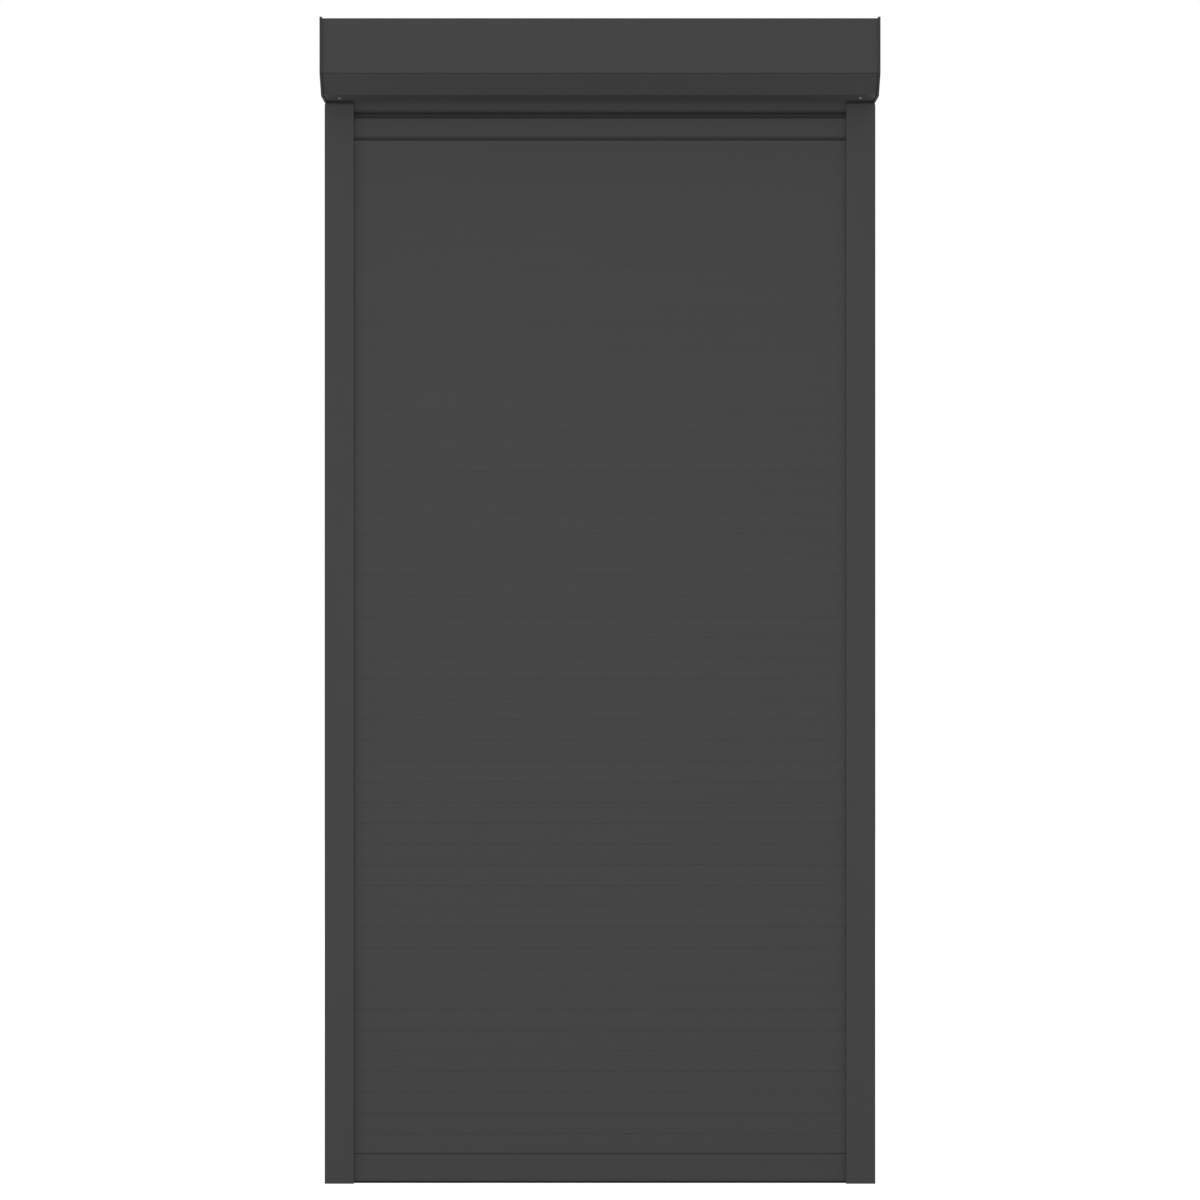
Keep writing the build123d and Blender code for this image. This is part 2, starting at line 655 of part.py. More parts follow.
# Motor: the head is held by the bracket and carries the tube, which lies inside the winding shaft
motor_head_radius = 24.0
motor_head_length = 17.0
motor_head_edge = 1.2
motor_stub = 10.0
motor_stub_length = 4.0
motor_tube_radius = 17.5
motor_tube_wall = 1.5
motor_tube_length = 420.0
motor_head_x = bracket_inner_x - motor_head_length
motor_end_x = motor_head_x - motor_tube_length
button_block_width = 12.0
button_block_depth = 28.0
button_block_foot = 27.0
button_radius = 3.0
button_length = 7.0
button_proud = 2.2
button_travel = 1.5
button_spacing = 14.0
button_x = motor_head_x + motor_head_length / 2
button_face_z = shaft_z - button_block_foot
button_pocket_depth = button_length - button_proud + button_travel + running_gap

with BuildPart() as motor_head:
    with BuildSketch(across(motor_head_x)):
        Circle(motor_head_radius)
    extrude(amount=motor_head_length)
    fillet(motor_head.edges().filter_by(GeomType.CIRCLE), radius=motor_head_edge)
    with BuildSketch(across(bracket_inner_x)):
        Rectangle(motor_stub, motor_stub)
    extrude(amount=motor_stub_length)
    with BuildSketch(Plane.XY.offset(button_face_z)):
        with Locations((button_x, shaft_y)):
            Rectangle(button_block_width, button_block_depth)
    extrude(amount=button_block_foot - motor_tube_radius)
    with BuildSketch(Plane.XY.offset(button_face_z)):
        with Locations((button_x, shaft_y)):
            with GridLocations(0, button_spacing, 1, 2):
                Circle(button_radius + running_gap)
    extrude(amount=button_pocket_depth, mode=Mode.SUBTRACT)

write_step(motor_head.part, "motor_head")

for way, name in ((-1, "limit_button_up"), (1, "limit_button_down")):
    with BuildPart() as limit_button:
        with BuildSketch(Plane.XY.offset(button_face_z - button_proud)):
            with Locations((button_x, shaft_y + way * button_spacing / 2)):
                Circle(button_radius)
        extrude(amount=button_length)
        button_rim = limit_button.edges().filter_by(GeomType.CIRCLE).group_by(Axis.Z)[0]
        fillet(button_rim, radius=button_radius / 4)
    write_step(limit_button.part, name)

with BuildPart() as motor_tube:
    with BuildSketch(across(motor_end_x)):
        Circle(motor_tube_radius)
        Circle(motor_tube_radius - motor_tube_wall, mode=Mode.SUBTRACT)
    extrude(amount=motor_tube_length)

write_step(motor_tube.part, "motor_tube")

# Motor unit and gear unit: sealed inside the tube, with the output shaft coming out of its end
motor_unit_radius = motor_tube_radius - motor_tube_wall - fit_gap
motor_unit_length = 170.0
limit_switch_length = 60.0
motor_unit_start_x = motor_head_x - limit_switch_length - motor_unit_length
gear_unit_length = motor_unit_start_x - motor_end_x
output_radius = 6.0
output_flat = 4.5
output_length = 16.0
output_seat = 8.0

with BuildPart() as motor_unit:
    with BuildSketch(across(motor_unit_start_x)):
        Circle(motor_unit_radius)
    extrude(amount=motor_unit_length)

write_step(motor_unit.part, "motor_unit")

with BuildPart() as gear_unit:
    with BuildSketch(across(motor_end_x)):
        Circle(motor_unit_radius)
    extrude(amount=gear_unit_length)
    with BuildSketch(across(motor_end_x)):
        Circle(output_radius + running_gap)
    extrude(amount=output_seat + running_gap, mode=Mode.SUBTRACT)

write_step(gear_unit.part, "gear_unit")

with BuildPart() as output_shaft:
    with BuildSketch(across(motor_end_x - output_length)):
        Circle(output_radius)
        with Locations((0, output_flat + output_radius / 2)):
            Rectangle(2 * output_radius, output_radius, mode=Mode.SUBTRACT)
    extrude(amount=output_length + output_seat)

write_step(output_shaft.part, "output_shaft")

# Winding shaft: a roll-formed octagonal tube round the motor, from the idler capsule to the limit crown
crown_flange = 2.5
crown_seat = 8.0
shaft_end_x = motor_head_x - crown_flange - running_gap
idler_flange = 2.5
bearing_width = 8.0
bearing_outer_radius = 14.0
bearing_cup_depth = 16.0
bearing_cup_wall = 1.8
bearing_stand_off = 5.0
idler_gap = 14.0
bearing_start_x = bearing_stand_off - bracket_inner_x
shaft_start_x = bearing_start_x + bearing_width + idler_gap
plug_flats = shaft_flats - 2 * shaft_wall - 2 * seat_gap
shaft_sides = 8


def octagon_radius(flats):
    """Radius of the corners of an octagon with these flats."""
    return flats / 2 / cos(pi / shaft_sides)


def octagon(flats, mode=Mode.ADD):
    """An octagon across the shaft with a flat on top."""
    return RegularPolygon(octagon_radius(flats), shaft_sides, rotation=180 / shaft_sides, mode=mode)


# Hanger strips: their slots in the shaft come with the shaft
strip_width = 22.0
strip_thickness = 0.6
strip_place_shares = (-0.6, -0.1, 0.6)
strip_places_x = [share * half_width for share in strip_place_shares]
strip_slot_play = 2.0
strip_slot_length = strip_width + strip_slot_play
strip_slot_width = 2.0
strip_slot_y = -5.0
strip_tab = 3.0
shaft_screw_radius = 2.0
shaft_screw_head_radius = 3.6
shaft_screw_head_height = 1.6
shaft_screw_length = 9.0
drive_wheel_width = 14.0
drive_wheel_x = motor_end_x - output_length
idler_length = 60.0
shaft_screws_x = (drive_wheel_x + drive_wheel_width / 2, shaft_start_x + idler_length / 2)

with BuildPart() as winding_shaft:
    with BuildSketch(across(shaft_start_x)):
        octagon(shaft_flats)
        octagon(shaft_flats - 2 * shaft_wall, mode=Mode.SUBTRACT)
    extrude(amount=shaft_end_x - shaft_start_x)
    with BuildSketch(Plane.XY.offset(shaft_z + shaft_flats / 2 - shaft_wall - overrun)):
        with Locations(*[(x, shaft_y + strip_slot_y) for x in strip_places_x]):
            Rectangle(strip_slot_length, strip_slot_width)
    extrude(amount=shaft_wall + 2 * overrun, mode=Mode.SUBTRACT)
    with BuildSketch(shaft_side.offset(shaft_flats / 2 - shaft_wall - overrun)):
        with Locations(*[(x, 0) for x in shaft_screws_x]):
            Circle(shaft_screw_radius + fit_gap)
    extrude(amount=shaft_wall + 2 * overrun, mode=Mode.SUBTRACT)

write_step(winding_shaft.part, "winding_shaft")

with BuildPart() as limit_crown:
    with BuildSketch(across(shaft_end_x - crown_seat)):
        octagon(plug_flats)
    extrude(amount=crown_seat)
    with BuildSketch(across(shaft_end_x)):
        octagon(shaft_flats)
    extrude(amount=crown_flange)
    with BuildSketch(across(shaft_end_x - crown_seat - overrun)):
        Circle(motor_tube_radius + running_gap)
    extrude(amount=crown_seat + crown_flange + 2 * overrun, mode=Mode.SUBTRACT)

write_step(limit_crown.part, "limit_crown")

with BuildPart() as drive_wheel:
    with BuildSketch(across(drive_wheel_x)):
        octagon(plug_flats)
        Circle(output_radius + fit_gap, mode=Mode.SUBTRACT)
    extrude(amount=drive_wheel_width)
    with BuildSketch(across(drive_wheel_x)):
        with Locations((0, output_flat + output_radius / 2 + fit_gap)):
            Rectangle(output_radius, output_radius)
    extrude(amount=drive_wheel_width)
    with BuildSketch(shaft_side.offset(plug_flats / 2 - shaft_screw_length)):
        with Locations((shaft_screws_x[0], 0)):
            Circle(shaft_screw_radius + fit_gap)
    extrude(amount=shaft_screw_length + overrun, mode=Mode.SUBTRACT)

write_step(drive_wheel.part, "drive_wheel")

# Idler: a plastic capsule in the free end of the shaft, with a steel pin in the ball bearing
pin_radius = 6.0
pin_seat = 45.0
pin_proud = 2.0
pin_start_x = bearing_start_x - pin_proud

with BuildPart() as idler_capsule:
    with BuildSketch(across(shaft_start_x)):
        octagon(plug_flats)
    extrude(amount=idler_length)
    with BuildSketch(across(shaft_start_x - idler_flange)):
        octagon(shaft_flats)
    extrude(amount=idler_flange)
    with BuildSketch(across(shaft_start_x - idler_flange)):
        Circle(pin_radius + fit_gap)
    extrude(amount=idler_flange + pin_seat, mode=Mode.SUBTRACT)
    with BuildSketch(shaft_side.offset(plug_flats / 2 - shaft_screw_length)):
        with Locations((shaft_screws_x[1], 0)):
            Circle(shaft_screw_radius + fit_gap)
    extrude(amount=shaft_screw_length + overrun, mode=Mode.SUBTRACT)

write_step(idler_capsule.part, "idler_capsule")

with BuildPart() as idler_pin:
    with BuildSketch(across(pin_start_x)):
        Circle(pin_radius)
    extrude(amount=shaft_start_x + pin_seat - seat_gap - pin_start_x)
    chamfer(idler_pin.edges().filter_by(GeomType.CIRCLE), length=pin_radius / 6)

write_step(idler_pin.part, "idler_pin")

with BuildPart() as shaft_screws:
    with BuildSketch(shaft_side.offset(shaft_flats / 2)):
        with Locations(*[(x, 0) for x in shaft_screws_x]):
            Circle(shaft_screw_head_radius)
    extrude(amount=shaft_screw_head_height)
    with BuildSketch(shaft_side.offset(shaft_flats / 2)):
        with Locations(*[(x, 0) for x in shaft_screws_x]):
            Circle(shaft_screw_radius)
    extrude(amount=-shaft_screw_length)

write_step(shaft_screws.part, "shaft_screws")

# Ball bearing of the idler pin
ball_radius = 2.4
ball_count = 8
ball_circle_radius = (pin_radius + bearing_outer_radius) / 2
race_radius = ball_radius + seat_gap
race_shoulder = 1.6
bearing_middle_x = bearing_start_x + bearing_width / 2

with BuildPart() as bearing_inner_ring:
    with BuildSketch(shaft_side):
        with Locations((bearing_middle_x, (pin_radius + fit_gap + ball_circle_radius - race_shoulder) / 2)):
            Rectangle(bearing_width, ball_circle_radius - race_shoulder - pin_radius - fit_gap)
        with Locations((bearing_middle_x, ball_circle_radius)):
            Circle(race_radius, mode=Mode.SUBTRACT)
    revolve(axis=shaft_axis)

write_step(bearing_inner_ring.part, "bearing_inner_ring")

with BuildPart() as bearing_outer_ring:
    with BuildSketch(shaft_side):
        with Locations((bearing_middle_x, (bearing_outer_radius + ball_circle_radius + race_shoulder) / 2)):
            Rectangle(bearing_width, bearing_outer_radius - ball_circle_radius - race_shoulder)
        with Locations((bearing_middle_x, ball_circle_radius)):
            Circle(race_radius, mode=Mode.SUBTRACT)
    revolve(axis=shaft_axis)

write_step(bearing_outer_ring.part, "bearing_outer_ring")

with BuildPart() as bearing_balls:
    with Locations(across(bearing_middle_x)):
        with PolarLocations(ball_circle_radius, ball_count):
            Sphere(ball_radius)

write_step(bearing_balls.part, "bearing_balls")

# Brackets: steel plates screwed to the end caps' pads
with BuildPart() as motor_bracket:
    with BuildSketch(across(bracket_inner_x)):
        RectangleRounded(bracket_size, bracket_size, bracket_corner)
        Rectangle(motor_stub + 2 * fit_gap, motor_stub + 2 * fit_gap, mode=Mode.SUBTRACT)
        with GridLocations(bracket_screw_spacing, bracket_screw_spacing, 2, 2):
            Circle(bracket_screw_radius + seat_gap, mode=Mode.SUBTRACT)
    extrude(amount=bracket_thickness)

write_step(motor_bracket.part, "motor_bracket")

with BuildPart() as bearing_bracket:
    with BuildSketch(across(-bracket_outer_x)):
        RectangleRounded(bracket_size, bracket_size, bracket_corner)
        with GridLocations(bracket_screw_spacing, bracket_screw_spacing, 2, 2):
            Circle(bracket_screw_radius + seat_gap, mode=Mode.SUBTRACT)
    extrude(amount=bracket_thickness)
    with BuildSketch(across(-bracket_inner_x)):
        Circle(bearing_outer_radius + fit_gap + bearing_cup_wall)
        Circle(bearing_outer_radius + fit_gap, mode=Mode.SUBTRACT)
    extrude(amount=bearing_cup_depth)
    with BuildSketch(across(-bracket_inner_x)):
        Circle(bearing_outer_radius + fit_gap)
        Circle(pin_radius + bearing_cup_wall, mode=Mode.SUBTRACT)
    extrude(amount=bearing_start_x + bracket_inner_x - fit_gap)

write_step(bearing_bracket.part, "bearing_bracket")


def bracket_screws(face_x, inward, name):
    """Write the four screws that hold a bracket, with their heads on its inner face."""
    with BuildPart() as screws:
        with BuildSketch(across(face_x)):
            with GridLocations(bracket_screw_spacing, bracket_screw_spacing, 2, 2):
                Circle(bracket_screw_head_radius)
        extrude(amount=inward * bracket_screw_head_height)
        with BuildSketch(across(face_x)):
            with GridLocations(bracket_screw_spacing, bracket_screw_spacing, 2, 2):
                Circle(bracket_screw_radius)
        extrude(amount=-inward * bracket_screw_length)
    write_step(screws.part, name)


bracket_screws(bracket_inner_x, -1, "motor_bracket_screws")
bracket_screws(-bracket_inner_x, 1, "bearing_bracket_screws")

# Hanger strips: spring steel, hooked under the top slat's head and bent over onto the shaft
strip_rear_y = curtain_y + hook_head_width / 2 + running_gap
strip_foot_z = hanging_slat_level + hook_head_foot - seat_gap - strip_thickness
strip_top_z = shaft_z + shaft_flats / 2 + fit_gap
strip_sweep_radius = 26.0
strip_hook_radius = 0.5
strip_hook_y = curtain_y + hook_neck / 2 + seat_gap

with BuildPart() as hanger_strips:
    for strip_x in strip_places_x:
        with BuildSketch(Plane.YZ.offset(strip_x - strip_width / 2)):
            with BuildLine():
                FilletPolyline(
                    (strip_hook_y, strip_foot_z),
                    (strip_rear_y + strip_thickness, strip_foot_z),
                    (strip_rear_y + strip_thickness, strip_top_z + strip_thickness),
                    (shaft_y + strip_slot_y - strip_thickness / 2, strip_top_z + strip_thickness),
                    radius=[strip_thickness + strip_hook_radius, strip_sweep_radius],
                )
                offset(amount=strip_thickness, side=Side.LEFT, kind=Kind.ARC)
            make_face()
            with Locations((shaft_y + strip_slot_y, strip_top_z + (strip_thickness - strip_tab) / 2)):
                Rectangle(strip_thickness, strip_tab + strip_thickness)
        extrude(amount=strip_width)

write_step(hanger_strips.part, "hanger_strips")
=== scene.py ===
import bmesh
import bpy
import numpy as np
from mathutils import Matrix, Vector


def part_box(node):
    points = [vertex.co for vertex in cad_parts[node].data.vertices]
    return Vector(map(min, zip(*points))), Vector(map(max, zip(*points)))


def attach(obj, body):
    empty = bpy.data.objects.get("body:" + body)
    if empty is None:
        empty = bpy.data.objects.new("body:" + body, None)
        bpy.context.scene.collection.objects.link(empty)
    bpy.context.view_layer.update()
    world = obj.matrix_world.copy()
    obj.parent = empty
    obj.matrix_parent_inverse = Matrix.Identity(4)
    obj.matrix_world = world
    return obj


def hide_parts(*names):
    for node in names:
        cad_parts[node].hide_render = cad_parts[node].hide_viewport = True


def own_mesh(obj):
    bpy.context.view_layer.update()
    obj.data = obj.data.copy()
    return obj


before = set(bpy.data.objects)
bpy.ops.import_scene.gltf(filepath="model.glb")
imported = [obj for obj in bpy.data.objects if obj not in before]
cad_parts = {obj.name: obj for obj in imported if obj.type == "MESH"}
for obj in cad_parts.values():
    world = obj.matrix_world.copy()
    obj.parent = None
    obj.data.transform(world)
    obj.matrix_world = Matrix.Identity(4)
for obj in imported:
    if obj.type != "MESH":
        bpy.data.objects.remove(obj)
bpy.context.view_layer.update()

# End caps
# Cast aluminium plates that close the box at both ends, with the bracket pads on their inner sides.
# They are powder coated anthracite grey and stand proud of the sheet by a little over 2 mm.
MM = 0.001
CAP_GREY = "#2E2E2F"
CAP_GREY_LIGHT = "#313132"
# Near black, laid on as painted shade where the box meets the rails.
PAINTED_GAP_SHADE = "#121212"
COAT_SPECULAR = 0.2
DARK_SPECULAR = 0.1
GLOSS_SWING = 0.04


def linear(colour):
    """An sRGB hex colour as linear RGBA. Each channel c over 0.04045 is ((c + 0.055) / 1.055) to the power
    2.4, and each one under it is c / 12.92."""
    channels = np.array([int(colour[place : place + 2], 16) for place in (1, 3, 5)]) / 255
    bent = np.where(channels > 0.04045, ((channels + 0.055) / 1.055) ** 2.4, channels / 12.92)
    return (*bent.tolist(), 1.0)


def add(tree, kind, settings, links=()):
    """Adds a node, sets its own properties or its input sockets, and links other nodes' outputs to them."""
    made = tree.nodes.new(kind)
    for key, value in settings.items():
        if isinstance(key, str) and hasattr(made, key):
            setattr(made, key, value)
        else:
            made.inputs[key].default_value = value
    for key, output in links:
        tree.links.new(output, made.inputs[key])
    return made


def finish(name, dark, light, roughness, grain_mm, grain_depth_mm, cloud_mm, stretch=(1.0, 1.0, 1.0),
           **sockets):
    """A finished surface. Its colour runs from dark to light with slow noise of cloud_mm, and its relief is
    fine noise of grain_mm, grain_depth_mm deep. Its roughness follows the grain, by GLOSS_SWING either way.
    Stretch multiplies the pattern's frequency along each axis."""
    material = bpy.data.materials.new(name)
    material.use_nodes = True
    tree = material.node_tree
    tree.nodes.clear()
    place = add(tree, "ShaderNodeTexCoord", {})
    run = add(tree, "ShaderNodeMapping", {"Scale": stretch}, [("Vector", place.outputs["Object"])])
    cloud = add(tree, "ShaderNodeTexNoise", {"Scale": 1 / (cloud_mm * MM), "Detail": 4.0},
                [("Vector", run.outputs[0])])
    grain = add(tree, "ShaderNodeTexNoise", {"Scale": 1 / (grain_mm * MM), "Detail": 2.0},
                [("Vector", run.outputs[0])])
    tone = add(tree, "ShaderNodeMix", {"data_type": "RGBA", 6: linear(dark), 7: linear(light)},
               [(0, cloud.outputs[0])])
    relief = add(tree, "ShaderNodeBump", {"Distance": grain_depth_mm * MM}, [("Height", grain.outputs[0])])
    gloss = add(tree, "ShaderNodeMapRange", {
        "To Min": roughness - GLOSS_SWING, "To Max": roughness + GLOSS_SWING,
    }, [("Value", grain.outputs[0])])
    shader = add(tree, "ShaderNodeBsdfPrincipled", sockets, [
        ("Base Color", tone.outputs[2]),
        ("Roughness", gloss.outputs[0]),
        ("Normal", relief.outputs[0]),
    ])
    add(tree, "ShaderNodeOutputMaterial", {}, [("Surface", shader.outputs[0])])
    return material


def dress(material, *nodes):
    """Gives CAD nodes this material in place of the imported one."""
    for name in nodes:
        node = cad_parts[name]
        node.data.materials.clear()
        node.data.materials.append(material)


def lay_over(material, colour, *bands):
    """Lays a second colour over a finish. Each band gives an axis and three measures in mm: its middle,
    and how far from there the colour has ended and is whole. It lies where all the bands meet."""
    tree = material.node_tree
    base = next(node for node in tree.nodes if node.type == "BSDF_PRINCIPLED").inputs["Base Color"]
    place = add(tree, "ShaderNodeTexCoord", {})
    axes = add(tree, "ShaderNodeSeparateXYZ", {}, [(0, place.outputs["Object"])])
    share = None
    for axis, middle, ended, whole in bands:
        away = add(tree, "ShaderNodeMath", {"operation": "SUBTRACT", 1: middle * MM},
                   [(0, axes.outputs[axis])])
        size = add(tree, "ShaderNodeMath", {"operation": "ABSOLUTE"}, [(0, away.outputs[0])])
        band = add(tree, "ShaderNodeMapRange", {
            "interpolation_type": "SMOOTHSTEP", "From Min": ended * MM, "From Max": whole * MM,
        }, [("Value", size.outputs[0])]).outputs[0]
        share = band if share is None else add(tree, "ShaderNodeMath", {"operation": "MULTIPLY"}, [
            (0, share), (1, band)]).outputs[0]
    mixed = add(tree, "ShaderNodeMix", {"data_type": "RGBA", 7: linear(colour)}, [
        (0, share), (6, base.links[0].from_socket)])
    tree.links.new(mixed.outputs[2], base)


# Powder coat on cast aluminium: matt, with an orange peel of about 1 mm that is drawn 3 mm wide to show.
# The feet over the rails are painted near black: painted shade for the dark line in the gap between the box
# and the rails.
CAP_FOOT_SHADE_BANDS = (("X", 0.0, 495.8, 495.5), ("Z", 1965.6, 2.8, 2.5))
cap_coat = finish("powder_coated_cast_aluminium", CAP_GREY, CAP_GREY_LIGHT, 0.62, 3.0, 0.03, 160.0,
                  **{"Specular IOR Level": COAT_SPECULAR})
lay_over(cap_coat, PAINTED_GAP_SHADE, *CAP_FOOT_SHADE_BANDS)
dress(cap_coat, "end_cap_left", "end_cap_right")

# Box shell
# The rear, top and front panel of the box, bent from one aluminium sheet of 1.2 mm.
# The sheet is coil coated before it is bent, so its paint is smoother than powder coat.
SHEET_GREY = "#353535"
SHEET_GREY_LIGHT = "#383838"
ROLLED_STRETCH = (0.05, 1.0, 1.0)

# Coil coat: satin, rolled on along the coil, so its faint streaks are drawn 20 times longer along X.
sheet_coat = finish("coil_coated_aluminium_sheet", SHEET_GREY, SHEET_GREY_LIGHT, 0.55, 2.5, 0.01, 120.0,
                    ROLLED_STRETCH, **{"Specular IOR Level": COAT_SPECULAR})
dress(sheet_coat, "box_shell")

# Inspection cover
# The 45 degree panel and the underside of the box, a separate bent sheet that comes off for service.
# It is cut from the same coated coil as the shell, and its flange is painted a shade lighter: painted light,
# for the light that reaches the underside from below.
FLANGE_PAINTED_LIGHT = "#414141"
FLANGE_LIGHT_BANDS = (("Z", 0.0, 1969.5, 1966.8), ("Y", -62.2, 36.2, 33.2))
DRIP_EDGE_SHADE_BANDS = (("X", 0.0, 446.6, 447.2), ("Y", -25.0, 3.9, 3.1))
cover_coat = finish("coil_coated_cover_sheet", SHEET_GREY, SHEET_GREY_LIGHT, 0.55, 2.5, 0.01, 120.0,
                    ROLLED_STRETCH, **{"Specular IOR Level": COAT_SPECULAR})
# The flange is painted lighter, as painted light on the underside.
lay_over(cover_coat, FLANGE_PAINTED_LIGHT, *FLANGE_LIGHT_BANDS)
# Over the rails its drip edge is painted near black, as painted shade in the gap over the rails.
lay_over(cover_coat, PAINTED_GAP_SHADE, *DRIP_EDGE_SHADE_BANDS)
dress(cover_coat, "inspection_cover")

# Blind rivets
# Four aluminium rivets that hold the shell to the end caps' collars, set from above through both.
# The pulled mandrel leaves a small pit in the middle of each painted dome.
RIVET_PIT_SHARE = 0.28
RIVET_PIT_DEPTH_SHARE = 0.7
RIVET_TAPER = 0.8
RIVET_TURNS = 40
WELD_DISTANCE = 0.001 * MM
SHARP_DEGREES = 38


def grid(points):
    """Points and quads of a grid, rows by columns, that closes round its columns."""
    rows, columns = points.shape[:2]
    index = np.arange(rows * columns).reshape(rows, columns)
    after = np.roll(index, -1, axis=1)
    quads = np.stack([index[:-1], after[:-1], after[1:], index[1:]], axis=-1)
    return points.reshape(-1, 3), quads.reshape(-1, 4)


def around(radius, height, centre, axis):
    """A turned shape. At each angle a, a point lies at radius times (cos a, sin a) across the axis and at
    height along it. Radius and height are grids of profile places by angles."""
    axis = np.array(axis, float)
    side = np.array([1.0, 0.0, 0.0]) if abs(axis[0]) < 0.5 else np.array([0.0, 1.0, 0.0])
    other = np.cross(axis, side)
    angle = np.linspace(0, 2 * np.pi, radius.shape[1], endpoint=False)
    ring = np.cos(angle)[:, None] * side + np.sin(angle)[:, None] * other
    return grid(np.array(centre) + radius[..., None] * ring + height[..., None] * axis)


def turned(profile, centre, axis, turns):
    """A plain turned shape from a list of (radius, height) along its outline."""
    radius, height = np.array(profile, float).T
    return around(np.repeat(radius[:, None], turns, 1), np.repeat(height[:, None], turns, 1), centre, axis)


def make(name, shapes, material, body, slot, *nodes):
    """Joins shapes into one piece, closes its poles, and lets it ride on a body and stand for CAD nodes."""
    starts = np.cumsum([0] + [len(points) for points, faces in shapes[:-1]])
    points = np.concatenate([points for points, faces in shapes])
    faces = np.concatenate([start + shape[1] for start, shape in zip(starts, shapes)])
    mesh = bpy.data.meshes.new(name)
    mesh.from_pydata(points.tolist(), [], faces.tolist())
    shell = bmesh.new()
    shell.from_mesh(mesh)
    bmesh.ops.remove_doubles(shell, verts=shell.verts, dist=WELD_DISTANCE)
    bmesh.ops.recalc_face_normals(shell, faces=shell.faces)
    shell.to_mesh(mesh)
    shell.free()
    mesh.polygons.foreach_set("use_smooth", np.ones(len(mesh.polygons), bool))
    mesh.set_sharp_from_angle(angle=np.radians(SHARP_DEGREES))
    mesh.materials.append(material)
    piece = bpy.data.objects.new(name, mesh)
    bpy.context.scene.collection.objects.link(piece)
    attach(piece, body)
    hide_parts(*nodes)
    return piece


rivet_low, rivet_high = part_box("shell_rivets")
RIVET_HEAD = 3.2 * MM
RIVET_SHANK = 1.6 * MM
RIVET_TAIL = 2.2 * MM
RIVET_DOME = 1.0 * MM
RIVET_TAIL_LENGTH = 2.0 * MM
rivet_length = rivet_high.z - rivet_low.z
dome_share = np.linspace(1.0, RIVET_PIT_SHARE, 9)
rivet_profile = [(0.0, 0.0), (RIVET_TAIL * RIVET_TAPER, 0.0), (RIVET_TAIL, RIVET_TAIL_LENGTH / 2),
                 (RIVET_SHANK, RIVET_TAIL_LENGTH), (RIVET_SHANK, rivet_length - RIVET_DOME),
                 (RIVET_HEAD, rivet_length - RIVET_DOME)]
rivet_profile += [(RIVET_HEAD * share, rivet_length - RIVET_DOME * share**2) for share in dome_share]
pit_floor = rivet_length - RIVET_DOME * RIVET_PIT_DEPTH_SHARE
rivet_profile += [(RIVET_HEAD * RIVET_PIT_SHARE * RIVET_TAPER, pit_floor), (0.0, pit_floor)]
rivet_places = [(x, y, rivet_low.z) for x in (rivet_low.x + RIVET_HEAD, rivet_high.x - RIVET_HEAD)
                for y in (rivet_low.y + RIVET_HEAD, rivet_high.y - RIVET_HEAD)]
rivets = [turned(rivet_profile, place, (0, 0, 1), RIVET_TURNS) for place in rivet_places]
make("shell_rivet_heads", rivets, sheet_coat, "frame", "rivet_aluminium", "shell_rivets")

# Cable grommet
# A ring of black moulded rubber in the rear panel's hole, with a bevelled flange on each side of the sheet.
# It is pressed in by hand and keeps the motor cable off the sheet's edge.
GROMMET_BORE = 3.4 * MM
GROMMET_NECK = 6.85 * MM
GROMMET_FLANGE = 9.5 * MM
GROMMET_LIP = 1.6 * MM
BLACK_RUBBER = "#161616"
BLACK_RUBBER_LIGHT = "#1D1D1D"

# Moulded rubber: nearly no gloss, with the fine grain of an etched mould.
rubber = finish("moulded_black_rubber", BLACK_RUBBER, BLACK_RUBBER_LIGHT, 0.8, 0.8, 0.02, 20.0,
                **{"Specular IOR Level": DARK_SPECULAR})
grommet_low, grommet_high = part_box("cable_grommet")
grommet_length = grommet_high.y - grommet_low.y
grommet_profile = [
    (GROMMET_BORE, 0.0), (GROMMET_FLANGE - 0.6 * MM, 0.0), (GROMMET_FLANGE, 0.5 * MM),
    (GROMMET_FLANGE, GROMMET_LIP - 0.4 * MM), (GROMMET_FLANGE - 0.4 * MM, GROMMET_LIP),
    (GROMMET_NECK, GROMMET_LIP), (GROMMET_NECK, grommet_length - GROMMET_LIP),
    (GROMMET_FLANGE, grommet_length - GROMMET_LIP),
    (GROMMET_FLANGE - 0.3 * MM, grommet_length - GROMMET_LIP / 2),
    (GROMMET_FLANGE - 0.7 * MM, grommet_length), (GROMMET_BORE + 1.2 * MM, grommet_length),
    (GROMMET_BORE, grommet_length - 0.6 * MM), (GROMMET_BORE, 0.0),
]
grommet_centre = ((grommet_low.x + grommet_high.x) / 2, grommet_high.y, (grommet_low.z + grommet_high.z) / 2)
make("cable_grommet_ring", [turned(grommet_profile, grommet_centre, (0, -1, 0), 64)], rubber, "frame",
     "grommet_rubber", "cable_grommet")

# Cross-headed screws
# Zinc plated steel screws with pan heads: two hold the cover, eight the brackets and two the shaft's plugs.
# Their threads are rolled and their cross recesses are struck cold.
THREAD_DEPTH = 0.28 * MM
THREAD_PITCH = 1.4 * MM
# In shares of the head: half the width of the cross's arms, their reach and depth, and the dome's drop.
CROSS_HALF_WIDTH = 0.13
CROSS_REACH = 0.62
CROSS_DEPTH = 0.6
DOME_DROP = 0.55
ZINC = "#A9ABAE"
ZINC_LIGHT = "#BFC1C4"

# Zinc plate: a pale bluish metal, bright in the thread and slightly cloudy on the head.
zinc = finish("zinc_plated_steel", ZINC, ZINC_LIGHT, 0.34, 0.9, 0.01, 4.0, **{"Metallic": 1.0})


